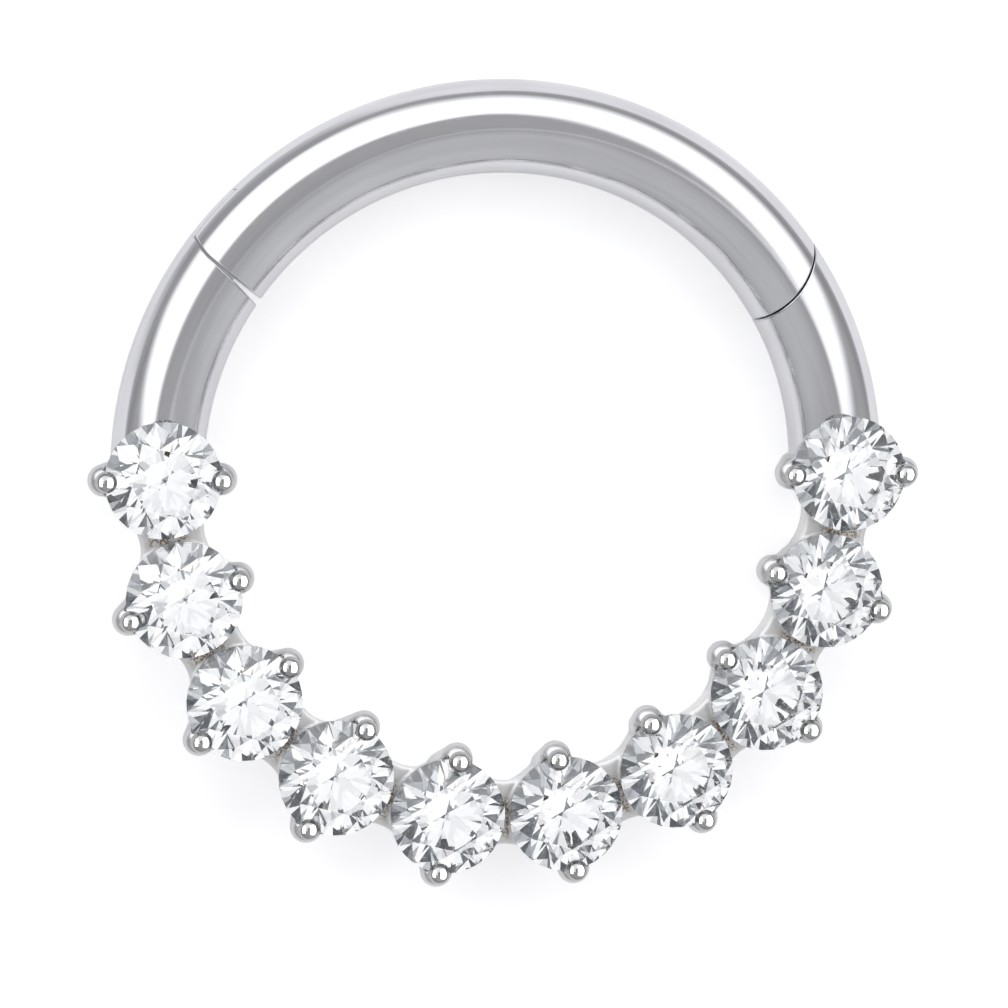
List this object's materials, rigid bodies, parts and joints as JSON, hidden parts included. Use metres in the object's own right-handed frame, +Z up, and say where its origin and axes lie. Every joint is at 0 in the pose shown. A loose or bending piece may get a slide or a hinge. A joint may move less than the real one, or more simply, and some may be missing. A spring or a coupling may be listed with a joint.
{
  "type": "clicker ring",
  "caption": "Hinged clicker ring of round polished wire for a piercing, with a row of round brilliant-cut clear stones in claw settings along its lower half. It lies flat on its back.",
  "frame": {"origin": "centre of the ring's opening, on the surface that the ring lies on", "axes": "+Z up along the ring's own axis, with the stones facing it; +Y towards the middle of the gate; +X towards the catch side"},
  "size_m": [0.0112, 0.0107, 0.0017],
  "materials": {
    "steel": "mirror polished surgical steel",
    "stone": "polished facets, clear cubic zirconia"
  },
  "bodies": {
    "ring": {"ring_body": "steel", "click_post": "steel", "stone_01": "stone", "stone_02": "stone", "stone_03": "stone", "stone_04": "stone", "stone_05": "stone", "stone_06": "stone", "stone_07": "stone", "stone_08": "stone", "stone_09": "stone", "stone_10": "stone"},
    "gate": {"gate": "steel", "hinge_pin": "steel"}
  },
  "joints": [
    {"name": "gate_hinge", "type": "hinge", "parent": "ring", "child": "gate", "pos_m": [-0.00357, 0.00335, 0.00063], "axis": [0, 0, 1], "range_deg": [0, 70]}
  ]
}
